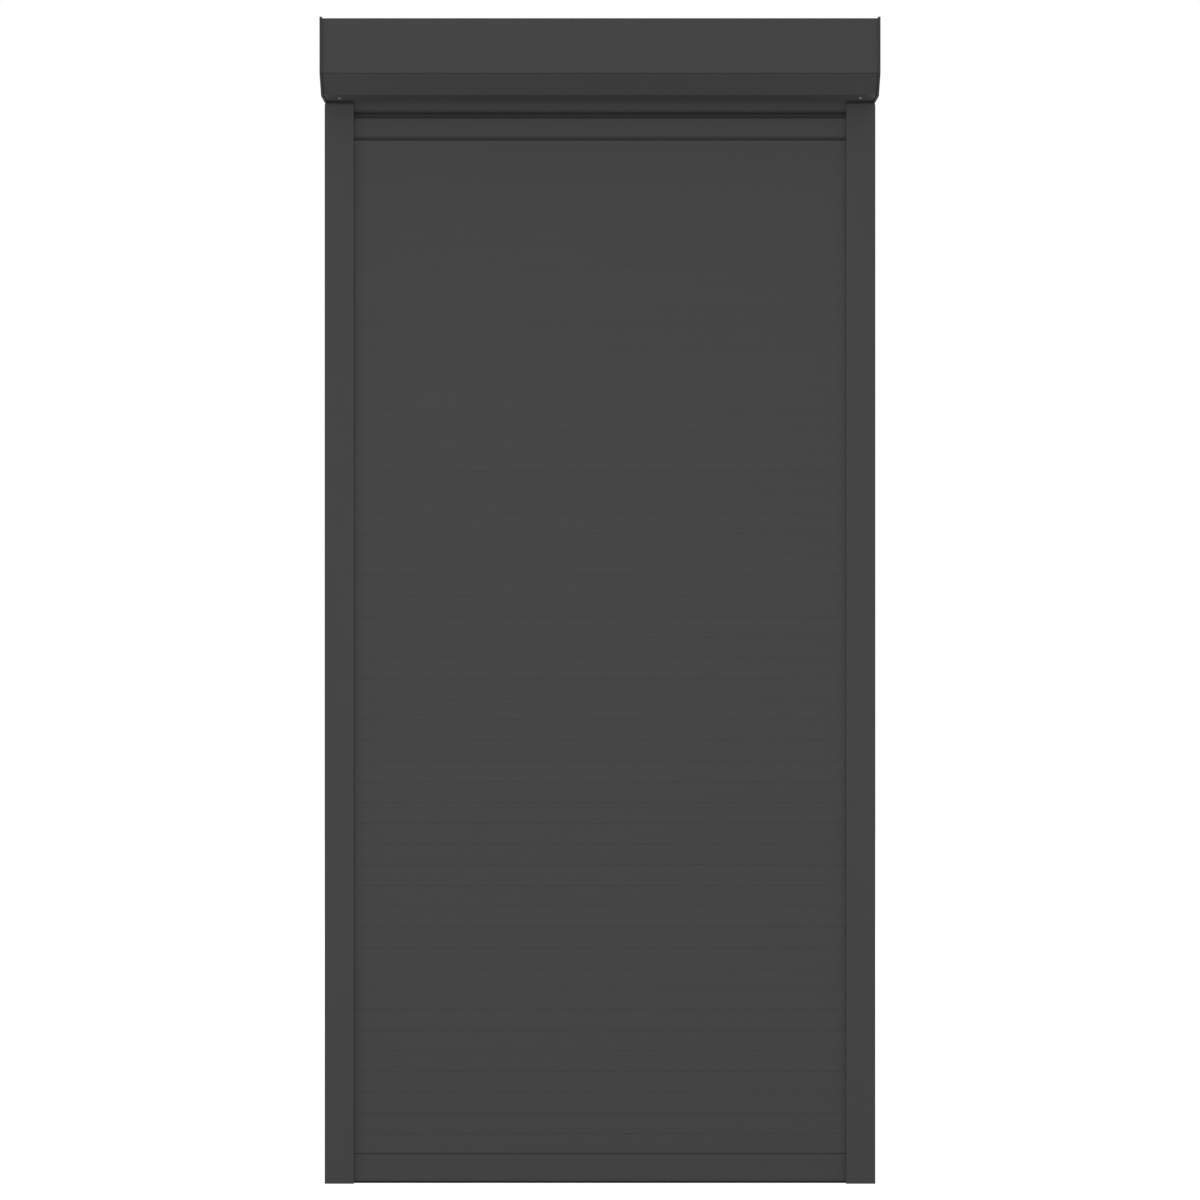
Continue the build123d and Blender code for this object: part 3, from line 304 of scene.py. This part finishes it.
def cross_screw(head_centre, inward, head_radius, head_height, shank_radius, length):
    """A screw with its head's seat at head_centre. The shank's radius loses THREAD_DEPTH times
    0.5 - 0.5 cos(2 pi height / THREAD_PITCH - angle). The dome is a parabola, and the recess is a cross that
    gets shallower outwards."""
    turns = 72
    angle = np.linspace(0, 2 * np.pi, turns, endpoint=False)[None, :]
    height = np.linspace(length, 0.0, int(length / THREAD_PITCH) * 8)[:, None]
    wave = 0.5 - 0.5 * np.cos(2 * np.pi * (height / THREAD_PITCH) - angle)
    tip = np.clip((length - height) / (2 * shank_radius), 0.25, 1.0)
    shank = (shank_radius - THREAD_DEPTH * wave) * tip
    share = np.linspace(1.0, 0.0, 30)[:, None]
    x = share * head_radius * np.cos(angle)
    y = share * head_radius * np.sin(angle)
    narrow = np.minimum(abs(x), abs(y)) / (CROSS_HALF_WIDTH * head_radius)
    far = share / CROSS_REACH
    recess = np.clip(1.6 - narrow, 0, 1) * np.clip((1 - far) * 4, 0, 1) * (1 - 0.5 * np.clip(far, 0, 1))
    dome = -head_height * (1 - DOME_DROP * share**2) + CROSS_DEPTH * head_height * recess
    radius = np.concatenate([np.zeros((1, turns)), shank, np.full((1, turns), head_radius),
                             np.broadcast_to(share * head_radius, dome.shape)])
    along = np.concatenate([np.full((1, turns), length), np.broadcast_to(height, shank.shape),
                            np.zeros((1, turns)), dome])
    return around(radius, along, head_centre, inward)


COVER_HEAD_RADIUS = 3.2 * MM
COVER_HEAD_HEIGHT = 1.8 * MM
COVER_SHANK_RADIUS = 1.5 * MM
COVER_SCREW_LENGTH = 11.0 * MM
cover_low, cover_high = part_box("cover_screws")
cover_seat = cover_low.z + COVER_HEAD_HEIGHT
cover_places = [(x, (cover_low.y + cover_high.y) / 2, cover_seat)
                for x in (cover_low.x + COVER_HEAD_RADIUS, cover_high.x - COVER_HEAD_RADIUS)]
cover_shapes = [cross_screw(place, (0, 0, 1), COVER_HEAD_RADIUS, COVER_HEAD_HEIGHT,
                            COVER_SHANK_RADIUS, COVER_SCREW_LENGTH) for place in cover_places]
make("cover_screws_pan_head", cover_shapes, zinc, "cover", "plated_screws", "cover_screws")

BRACKET_HEAD_RADIUS = 4.0 * MM
BRACKET_HEAD_HEIGHT = 2.6 * MM
BRACKET_SHANK_RADIUS = 2.0 * MM
BRACKET_SCREW_LENGTH = 7.0 * MM
for side, node in ((1, "motor_bracket_screws"), (-1, "bearing_bracket_screws")):
    low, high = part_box(node)
    seat_x = low.x + BRACKET_HEAD_HEIGHT if side > 0 else high.x - BRACKET_HEAD_HEIGHT
    places = [(seat_x, y, z) for y in (low.y + BRACKET_HEAD_RADIUS, high.y - BRACKET_HEAD_RADIUS)
              for z in (low.z + BRACKET_HEAD_RADIUS, high.z - BRACKET_HEAD_RADIUS)]
    shapes = [cross_screw(place, (side, 0, 0), BRACKET_HEAD_RADIUS, BRACKET_HEAD_HEIGHT,
                          BRACKET_SHANK_RADIUS, BRACKET_SCREW_LENGTH) for place in places]
    make(node + "_pan_head", shapes, zinc, "frame", "plated_screws", node)

SHAFT_HEAD_RADIUS = 3.6 * MM
SHAFT_HEAD_HEIGHT = 1.6 * MM
SHAFT_SHANK_RADIUS = 2.0 * MM
SHAFT_SCREW_LENGTH = 9.0 * MM
low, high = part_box("shaft_screws")
shaft_places = [(x, low.y + SHAFT_HEAD_HEIGHT, (low.z + high.z) / 2)
                for x in (low.x + SHAFT_HEAD_RADIUS, high.x - SHAFT_HEAD_RADIUS)]
shaft_shapes = [cross_screw(place, (0, 1, 0), SHAFT_HEAD_RADIUS, SHAFT_HEAD_HEIGHT,
                            SHAFT_SHANK_RADIUS, SHAFT_SCREW_LENGTH) for place in shaft_places]
make("shaft_screws_pan_head", shaft_shapes, zinc, "shaft", "plated_screws", "shaft_screws")

# Guide rails
# Extruded aluminium rails with a closed outer chamber and an open groove for the slat ends.
# They are powder coated, so the die's fine lines along Z only just show through.
RAIL_GREY = "#353535"
RAIL_GREY_LIGHT = "#383838"

# Powder coat on an extrusion: satin, with die lines drawn 3 mm wide and 30 times longer along Z.
rail_coat = finish("powder_coated_extruded_aluminium", RAIL_GREY, RAIL_GREY_LIGHT, 0.58, 3.0, 0.01, 140.0,
                   (1.0, 1.0, 0.033), **{"Specular IOR Level": COAT_SPECULAR})
dress(rail_coat, "guide_rail_left", "guide_rail_right")

# Rail liners
# Soft black strips pushed into the rails' holders, in front of the slats and behind them, against rattle.
# They are extruded, so their grain runs along Z.
liner_rubber = finish("extruded_soft_rubber", "#191919", "#202020", 0.85, 0.8, 0.05, 30.0, (1.0, 1.0, 0.05),
                      **{"Specular IOR Level": DARK_SPECULAR})
dress(liner_rubber, "rail_liner_left", "rail_liner_right")

# Inlet funnels
# Moulded polyamide cheeks, dyed as the rails, that stand in their tops and lead the slats in from the roll.
# Their faces have the matt grain of a spark-eroded mould.
dyed_plastic = finish("moulded_dyed_polyamide", "#2E2E2F", "#323233", 0.6, 0.7, 0.02, 25.0,
                      **{"Specular IOR Level": DARK_SPECULAR})
dress(dyed_plastic, "inlet_funnel_left", "inlet_funnel_right")

# Slats
# Roll-formed hollow slats of thin aluminium strip, filled with foam, that hook into one another.
# The strip is coil coated on both sides, and the rollers leave very faint lines along X.
SLAT_GREY = "#353535"
SLAT_GREY_LIGHT = "#383838"
# Painted shade for the slats' joints: the hooks and the dark lower edges below are drawn in it.
HOOK_SHADE_GREY = "#1C1C1C"
HOOK_SHADE_BAND = ("Y", -11.0, 3.9, 2.0)


def slat_coat(name):
    """The strip's coat. Its hooks are painted much darker than the faces, as painted shade in the joints, so
    it fades between 3.9 and 2.0 mm from the slats' middle plane."""
    coat = finish(name, SLAT_GREY, SLAT_GREY_LIGHT, 0.55, 2.0, 0.012, 90.0, ROLLED_STRETCH,
                  **{"Specular IOR Level": COAT_SPECULAR})
    lay_over(coat, HOOK_SHADE_GREY, HOOK_SHADE_BAND)
    return coat


closed_coat = slat_coat("coil_coated_roll_formed_aluminium")
dress(closed_coat, *[f"closed_slats_{number:02d}" for number in range(2, 11)])

# The two upper slats get painted shade along their lower edges, over their open joints, and the lowest one a
# band of painted shade over its joint with the bottom bar.
# Each edge is given by its place over its node's foot, and how far from there it has ended and is whole.
for node, place, ended, whole in (
    ("lifted_slat", 0.0, 11.0, 4.3), ("hanging_slat", 0.0, 8.7, 1.5), ("closed_slats_01", 5.1, 1.4, 0.5),
):
    shaded_edge_coat = slat_coat("coil_coated_" + node)
    lay_over(shaded_edge_coat, HOOK_SHADE_GREY, ("Z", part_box(node)[0].z / MM + place, ended, whole))
    dress(shaded_edge_coat, node)

# Foam cores
# Pale rigid polyurethane foam, injected between the strip's walls while it is rolled.
foam = finish("rigid_polyurethane_foam", "#CFC18D", "#DDD2A4", 0.9, 0.6, 0.15, 12.0)
dress(foam, "closed_slat_cores", "lifted_slat_core", "hanging_slat_core")

# End locks
# Grey moulded clips in every second slat's ends, which keep the slats in line in the rail grooves.
grey_plastic = finish("moulded_grey_polyamide", "#7C7E80", "#85878A", 0.5, 0.7, 0.015, 20.0)
dress(grey_plastic, "end_locks_left", "end_locks_right", "top_lock_left", "top_lock_right")

# Bottom bar and its glides
# A stiff extruded aluminium bar, powder coated as the rails are, with black moulded glides in its ends.
black_plastic = finish("moulded_black_polyamide", "#161616", "#1B1B1B", 0.6, 0.7, 0.02, 25.0,
                       **{"Specular IOR Level": DARK_SPECULAR})
bar_coat = finish("powder_coated_bottom_bar", RAIL_GREY, RAIL_GREY_LIGHT, 0.58, 3.0, 0.01, 140.0,
                  (0.033, 1.0, 1.0), **{"Specular IOR Level": COAT_SPECULAR})
dress(bar_coat, "bottom_bar")
dress(black_plastic, "bar_glide_left", "bar_glide_right")

# Bottom seal
# A black extruded rubber strip whose foot sits in the bar's slot and whose round lip lies on the sill.
# Fine grooves run along its bulb, as the die leaves them.
SEAL_RIBS = 30
SEAL_RIB_DEPTH = 0.12 * MM
SEAL_BULB_HEIGHT = 3.77 * MM
seal_low, seal_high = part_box("bottom_seal")
seal_turn = np.linspace(0, 2 * np.pi, 240, endpoint=False)
seal_half = (seal_high.y - seal_low.y) / 2
seal_middle_y = (seal_low.y + seal_high.y) / 2
# The bulb is a squircle, |y / a| to the 4 plus |z / b| to the 4 equal to 1, less a cosine for the grooves.
seal_reach = (abs(np.cos(seal_turn)) ** 4 + abs(np.sin(seal_turn)) ** 4) ** -0.25
seal_ribs = SEAL_RIB_DEPTH * (0.5 + 0.5 * np.cos(SEAL_RIBS * seal_turn))
seal_y = seal_middle_y + (seal_half * seal_reach - seal_ribs) * np.cos(seal_turn)
seal_z = SEAL_BULB_HEIGHT / 2 + (SEAL_BULB_HEIGHT / 2 * seal_reach - seal_ribs) * np.sin(seal_turn)
# Its foot is a plain T in the bar's slot: a neck and a flange, by half widths and heights in mm.
neck, neck_foot = 1.35, 3.6
flange, flange_foot, flange_top = 2.6, 5.15, 7.25
foot_points = np.array([
    (-neck, neck_foot), (neck, neck_foot), (neck, flange_foot), (flange, flange_foot),
    (flange, flange_top), (-flange, flange_top), (-flange, flange_foot), (-neck, flange_foot),
]) * MM


def drawn_along_x(y, z, low_x, high_x):
    """A closed outline in Y and Z carried from low_x to high_x, with each end closed towards its middle."""
    outline = np.stack([np.zeros_like(y), y, z], axis=-1)
    middle = np.broadcast_to(outline.mean(0), outline.shape)
    ends = np.array([low_x, low_x, high_x, high_x])[:, None, None] * np.array([1.0, 0.0, 0.0])
    return grid(np.stack([middle, outline, outline, middle]) + ends)


seal_shapes = [
    drawn_along_x(seal_y, seal_z, seal_low.x, seal_high.x),
    drawn_along_x(seal_middle_y + foot_points[:, 0], foot_points[:, 1], seal_low.x, seal_high.x),
]
seal_rubber = finish("extruded_black_rubber", "#1A1A1A", "#222222", 0.75, 0.8, 0.02, 40.0, (0.05, 1.0, 1.0),
                     **{"Specular IOR Level": DARK_SPECULAR})
make("bottom_seal_strip", seal_shapes, seal_rubber, "curtain", "seal_rubber", "bottom_seal")

# Motor
# A tubular motor inside the winding shaft: a painted steel tube with a moulded head that the bracket holds.
# Its two limit-setting buttons stand below the head and are pressed from under the open box.
motor_plastic = finish("moulded_black_glass_filled_nylon", "#202122", "#27282A", 0.55, 0.8, 0.03, 20.0,
                       **{"Specular IOR Level": DARK_SPECULAR})
motor_paint = finish("painted_steel_tube", "#B9BBBD", "#C3C5C7", 0.4, 1.5, 0.01, 60.0)
works = finish("machined_steel_works", "#8F9194", "#9C9EA1", 0.4, 1.0, 0.02, 20.0, **{"Metallic": 1.0})
dress(motor_plastic, "motor_head")
dress(motor_paint, "motor_tube")
dress(works, "motor_unit", "gear_unit")

BUTTON_RADIUS = 3.0 * MM
BUTTON_DISH = 0.35 * MM
BUTTON_DISH_SHARE = 0.8
BUTTON_EDGE = 0.6 * MM
for node, body, slot, dark, light in (
    ("limit_button_up", "button_up", "button_up_plastic", "#D6D6D2", "#DEDEDA"),
    ("limit_button_down", "button_down", "button_down_plastic", "#D9B53A", "#E0BD45"),
):
    low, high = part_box(node)
    button_plastic = finish("moulded_acetal_" + body, dark, light, 0.38, 0.9, 0.005, 6.0)
    dish = np.linspace(0.0, 1.0, 8)
    # The cap is dished by a parabola, so that a fingertip or pin finds its middle.
    profile = [(BUTTON_RADIUS * BUTTON_DISH_SHARE * share, BUTTON_DISH * (1 - share**2)) for share in dish]
    profile += [(BUTTON_RADIUS, BUTTON_EDGE), (BUTTON_RADIUS, high.z - low.z), (0.0, high.z - low.z)]
    centre = ((low.x + high.x) / 2, (low.y + high.y) / 2, low.z)
    make(node + "_cap", [turned(profile, centre, (0, 0, 1), 48)], button_plastic, body, slot, node)

# Winding shaft, brackets and bearing
# The octagonal shaft is roll-formed from galvanised strip, and the brackets are stamped from the same.
# A ball bearing of ground steel carries the idler's pin in the left bracket.
SPANGLE_MM = 9.0
spangle = bpy.data.materials.new("hot_dip_galvanised_steel")
spangle.use_nodes = True
spangle_tree = spangle.node_tree
spangle_tree.nodes.clear()
# Hot-dip zinc: flat crystals of about 9 mm, each with its own grey and gloss.
spangle_place = add(spangle_tree, "ShaderNodeTexCoord", {})
crystals = add(spangle_tree, "ShaderNodeTexVoronoi", {"Scale": 1 / (SPANGLE_MM * MM)},
               [("Vector", spangle_place.outputs["Object"])])
crystal_tone = add(spangle_tree, "ShaderNodeMix", {
    "data_type": "RGBA", 6: linear("#8E9294"), 7: linear("#AEB2B4"),
}, [(0, crystals.outputs["Color"])])
crystal_gloss = add(spangle_tree, "ShaderNodeMapRange", {"To Min": 0.36, "To Max": 0.52},
                    [("Value", crystals.outputs["Color"])])
spangle_shader = add(spangle_tree, "ShaderNodeBsdfPrincipled", {"Metallic": 1.0}, [
    ("Base Color", crystal_tone.outputs[2]),
    ("Roughness", crystal_gloss.outputs[0]),
])
add(spangle_tree, "ShaderNodeOutputMaterial", {}, [("Surface", spangle_shader.outputs[0])])
dress(spangle, "winding_shaft", "motor_bracket", "bearing_bracket")
dress(grey_plastic, "limit_crown", "drive_wheel", "idler_capsule")
ground_steel = finish("ground_bearing_steel", "#B4B6B8", "#C2C4C6", 0.22, 0.6, 0.003, 10.0,
                      **{"Metallic": 1.0})
dress(ground_steel, "bearing_inner_ring", "bearing_outer_ring", "bearing_balls", "idler_pin", "output_shaft")

# Hanger strips
# Three blued spring steel strips, hooked under the top slat's head, that swing over the shaft into its slots.
# They are split behind the head, so that the slat drops with its hooks while the rest stays on the shaft.
# They wind flat onto the shaft as the curtain rises, so they flatten towards their hooks here.
STRIP_THICKNESS = 0.6 * MM
STRIP_SWEEP = 26.0 * MM
STRIP_TAB = 3.6 * MM
# The run springs up over the shaft by this much, and lies down on it when both slats drop.
STRIP_ARCH = 1.7 * MM
STRIP_HOOK = 2.1 * MM
STRIP_CORNER = 0.4 * MM
STRIP_WIDTH = 22.0 * MM
STRIP_PLACES = (-300.0 * MM, -50.0 * MM, 300.0 * MM)
# The hooks' part is thinner and narrower, so that it slides inside the other between these two heights.
LAP_FOOT = 3.0 * MM
LAP_HEAD = 16.5 * MM
LAP_THICKNESS = 0.45 * MM
LAP_WIDTH = 21.6 * MM
strip_low, strip_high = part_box("hanger_strips")
rear_y = strip_high.y - STRIP_THICKNESS / 2
top_z = strip_high.z - STRIP_THICKNESS / 2 + STRIP_ARCH
foot_z = strip_low.z + STRIP_THICKNESS / 2
slot_y = strip_low.y + STRIP_THICKNESS / 2
# The hooks' path is the hook and a straight rise.
hook_path = np.array([(rear_y - STRIP_HOOK, foot_z), (rear_y - STRIP_CORNER, foot_z),
                      (rear_y, foot_z + STRIP_CORNER), (rear_y, foot_z + LAP_HEAD)])
# The other path is the rest of the rise, a quarter circle over to the top, a straight run and the tab down.
quarter = np.linspace(0, np.pi / 2, 16)
sweep_y = rear_y - STRIP_SWEEP * (1 - np.cos(quarter))
sweep_z = top_z - STRIP_SWEEP * (1 - np.sin(quarter))
tab_foot_z = top_z - STRIP_TAB + STRIP_THICKNESS / 2
shaft_path = np.concatenate([
    [(rear_y, foot_z + LAP_FOOT)],
    np.stack([sweep_y, sweep_z], axis=-1),
    [(slot_y + STRIP_CORNER, top_z), (slot_y, top_z - STRIP_CORNER), (slot_y, tab_foot_z)],
])


def strip(path, middle_x, width, thickness):
    """A flat strip along a path in Y and Z. Its four corners lie half a width along X and half a thickness
    across the path from it, and each end closes on its middle."""
    heading = np.gradient(path, axis=0)
    heading /= np.linalg.norm(heading, axis=1)[:, None]
    across_path = np.stack([-heading[:, 1], heading[:, 0]], axis=-1) * thickness / 2
    near, far = path + across_path, path - across_path
    corners = np.stack([near, far, far, near], axis=1)
    x = middle_x + np.array([-1, -1, 1, 1]) * width / 2
    rows = np.concatenate([np.broadcast_to(x, (len(path), 4))[..., None], corners], axis=-1)
    ends = [np.broadcast_to(rows[place].mean(0), (1, 4, 3)) for place in (0, -1)]
    return grid(np.concatenate([ends[0], rows, ends[1]]))


blued = finish("blued_spring_steel", "#3C4048", "#4A4E58", 0.32, 0.8, 0.004, 15.0, **{"Metallic": 1.0})
for name, body, path, width, thickness in (
    ("hanger_strip_hooks", "top_slat", hook_path, LAP_WIDTH, LAP_THICKNESS),
    ("hanger_strips_over_shaft", "upper_slat", shaft_path, STRIP_WIDTH, STRIP_THICKNESS),
):
    strips = make(name, [strip(path, x, width, thickness) for x in STRIP_PLACES], blued, body, "spring_steel",
                  "hanger_strips")
    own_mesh(strips)

# Camera
# It stands about 6.3 m in front of the wall at half height and looks straight at the shutter.
CAMERA_DISTANCE = 6.274
CAMERA_HEIGHT = 1.060
CAMERA_LENS_MM = 103.3
CAMERA_SENSOR_MM = 36.0
camera_data = bpy.data.cameras.new("front_camera")
camera_data.lens = CAMERA_LENS_MM
camera_data.sensor_width = CAMERA_SENSOR_MM
camera = bpy.data.objects.new("front_camera", camera_data)
camera.location = (0, -CAMERA_DISTANCE, CAMERA_HEIGHT)
camera.rotation_euler = (np.pi / 2, 0, 0)
bpy.context.scene.collection.objects.link(camera)
bpy.context.scene.camera = camera

# Floor
# A plain pale floor that shows white to the camera and keeps the shutter's shadow.
FLOOR_HALF = 9.0
FLOOR_GLOW = 0.52
FLOOR_GLOW_SEEN = 0.36
FLOOR_GREY = "#949494"
floor_mesh = bpy.data.meshes.new("floor")
floor_corners = [(x * FLOOR_HALF, y * FLOOR_HALF, 0) for x, y in ((-1, -1), (1, -1), (1, 1), (-1, 1))]
floor_mesh.from_pydata(floor_corners, [], [(0, 1, 2, 3)])
floor = bpy.data.objects.new("floor", floor_mesh)
bpy.context.scene.collection.objects.link(floor)
floor_paint = bpy.data.materials.new("pale_studio_floor")
floor_paint.use_nodes = True
floor_tree = floor_paint.node_tree
floor_tree.nodes.clear()
floor_light = add(floor_tree, "ShaderNodeLightPath", {})
# It gives back a little more light than it gets, so that the shutter's foot is as clear as its middle.
seen_floor = add(floor_tree, "ShaderNodeMath", {
    "operation": "MULTIPLY_ADD", 1: FLOOR_GLOW_SEEN, 2: FLOOR_GLOW,
}, [(0, floor_light.outputs["Is Camera Ray"])])
floor_shader = add(floor_tree, "ShaderNodeBsdfPrincipled", {
    "Base Color": linear(FLOOR_GREY), "Roughness": 0.9, "Emission Color": (1.0, 1.0, 1.0, 1.0),
}, [("Emission Strength", seen_floor.outputs[0])])
add(floor_tree, "ShaderNodeOutputMaterial", {}, [("Surface", floor_shader.outputs[0])])
floor_mesh.materials.append(floor_paint)

# Light
# Most of it is an even glow, and a part comes level from the front, as the shade under the box shows.
# Two soft lights at the sides, the left one stronger, and one behind keep the other faces clear.
WORLD_GLOW = 0.6
world = bpy.data.worlds.new("soft_studio")
bpy.context.scene.world = world
world.use_nodes = True
world_tree = world.node_tree
world_tree.nodes.clear()
rays = add(world_tree, "ShaderNodeLightPath", {})
camera_or_gloss = add(world_tree, "ShaderNodeMath", {"operation": "MAXIMUM"}, [
    (0, rays.outputs["Is Camera Ray"]), (1, rays.outputs["Is Glossy Ray"])])
seen = add(world_tree, "ShaderNodeMath", {"operation": "MAXIMUM"}, [
    (0, camera_or_gloss.outputs[0]), (1, rays.outputs["Is Transmission Ray"])])
glow = add(world_tree, "ShaderNodeBackground", {"Color": (1.0, 1.0, 1.0, 1.0), "Strength": WORLD_GLOW})
white = add(world_tree, "ShaderNodeBackground", {"Color": (1.0, 1.0, 1.0, 1.0), "Strength": 1.0})
sky = add(world_tree, "ShaderNodeMixShader", {}, [
    (0, seen.outputs[0]), (1, glow.outputs[0]), (2, white.outputs[0])])
add(world_tree, "ShaderNodeOutputWorld", {}, [("Surface", sky.outputs[0])])


def add_light(name, kind, place, turn, power, **settings):
    """A light of one kind at a place, turned by its Euler angles in degrees."""
    data = bpy.data.lights.new(name, kind)
    data.energy = power
    for key, value in settings.items():
        setattr(data, key, value)
    lamp = bpy.data.objects.new(name, data)
    lamp.location = place
    lamp.rotation_euler = np.radians(turn)
    bpy.context.scene.collection.objects.link(lamp)


add_light("front_softbox", "AREA", (0, -7.0, 1.0), (90, 0, 0), 140, size=2.6)
add_light("left_softbox", "AREA", (-4.5, -1.5, 1.8), (85, 0, -70), 60, size=2.4)
add_light("right_softbox", "AREA", (4.5, -1.5, 1.8), (85, 0, 70), 22, size=2.4)
add_light("rear_softbox", "AREA", (0, 5.0, 2.2), (-80, 0, 0), 50, size=3.0)

bpy.context.scene.view_settings.view_transform = "Standard"
